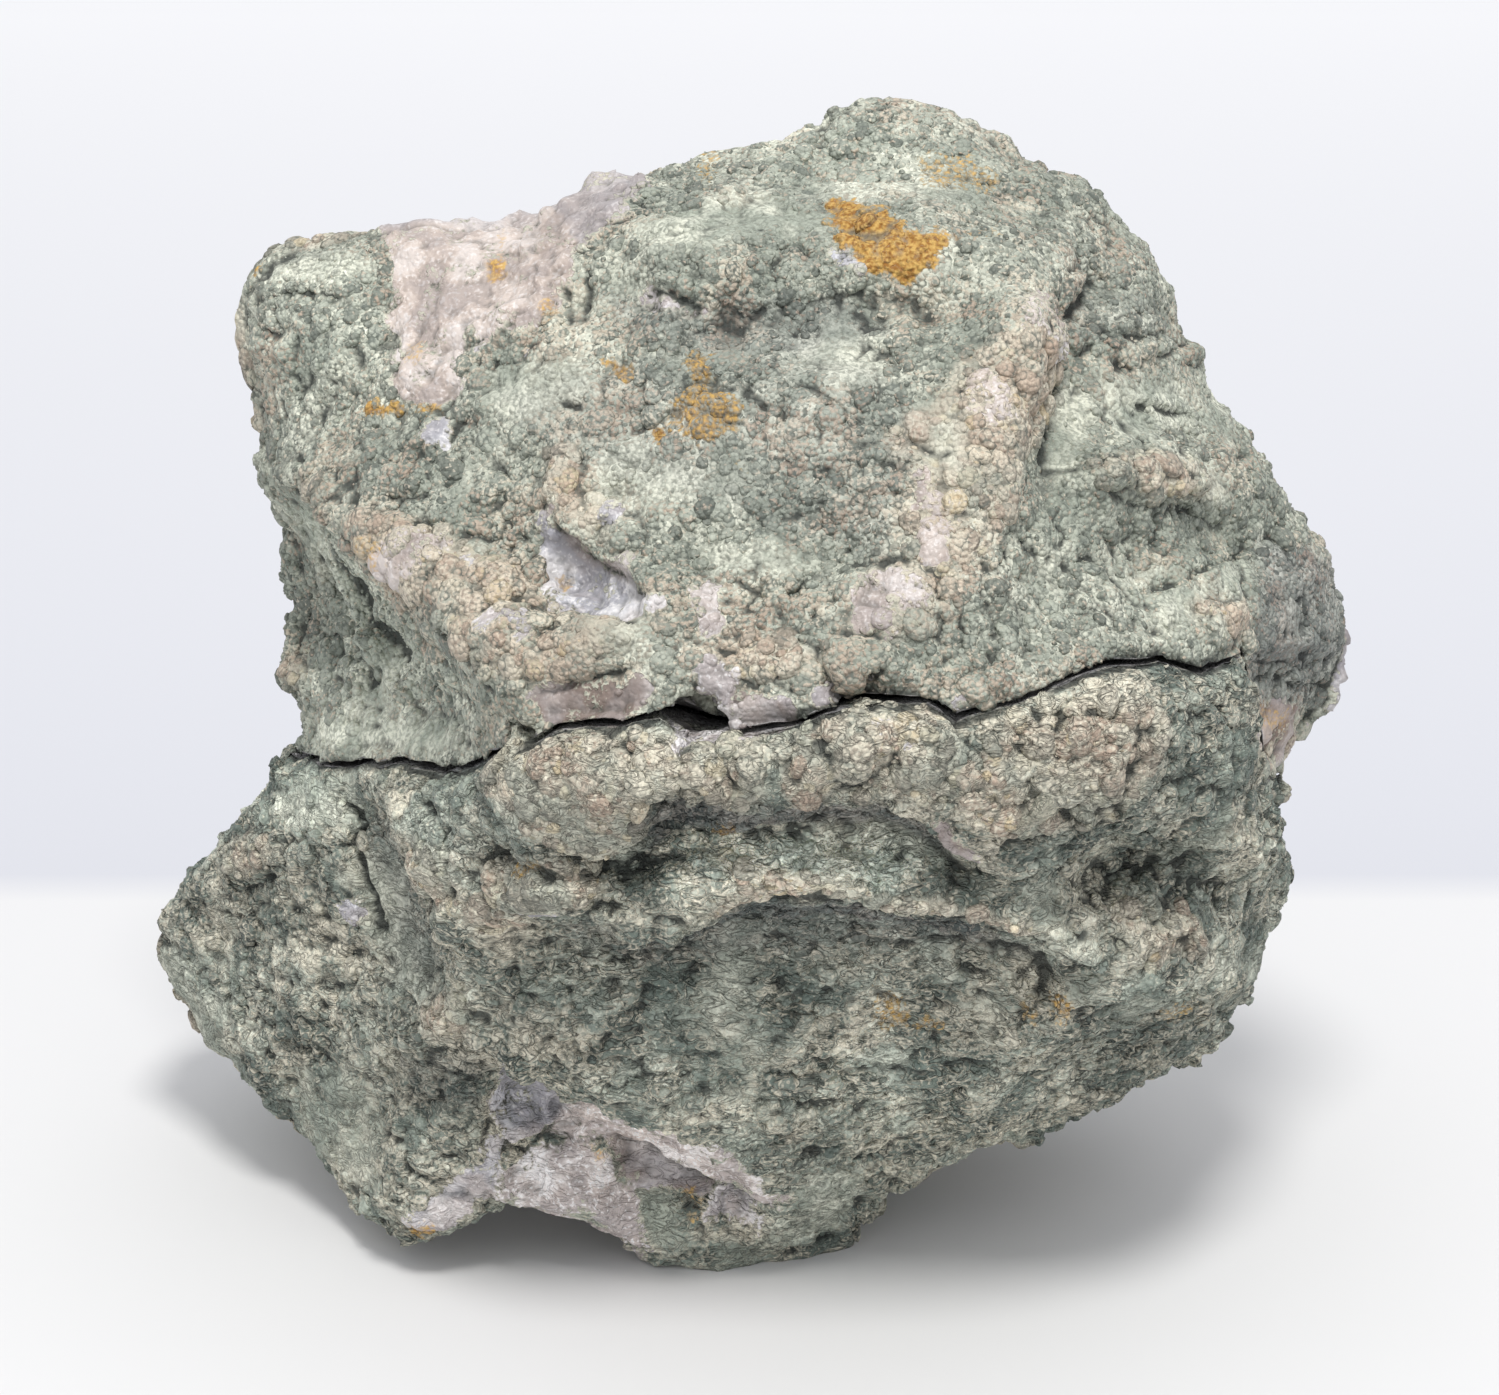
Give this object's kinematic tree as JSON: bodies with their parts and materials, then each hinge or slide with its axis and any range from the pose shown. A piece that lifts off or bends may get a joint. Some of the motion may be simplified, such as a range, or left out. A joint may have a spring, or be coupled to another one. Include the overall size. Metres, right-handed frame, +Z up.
{
  "type": "geode",
  "caption": "Rough geode with a green-grey granular rind and pale quartz windows, broken across and set together again, resting on a small flat spot.",
  "frame": {"origin": "on the floor under the middle of the stone's box", "axes": "+Z up, +Y from the seen front to the back, +X to the right as seen from the front"},
  "size_m": [0.116, 0.0898, 0.1062],
  "materials": {
    "upper_rind": "matt granular rind of green-grey clay over chalcedony, with pale lilac quartz windows and ochre stains",
    "lower_rind": "matt crackled rind of green-grey clay over chalcedony, with pale lilac quartz at the foot"
  },
  "bodies": {
    "root": {"upper_half": "upper_rind", "lower_half": "lower_rind"}
  },
  "joints": []
}
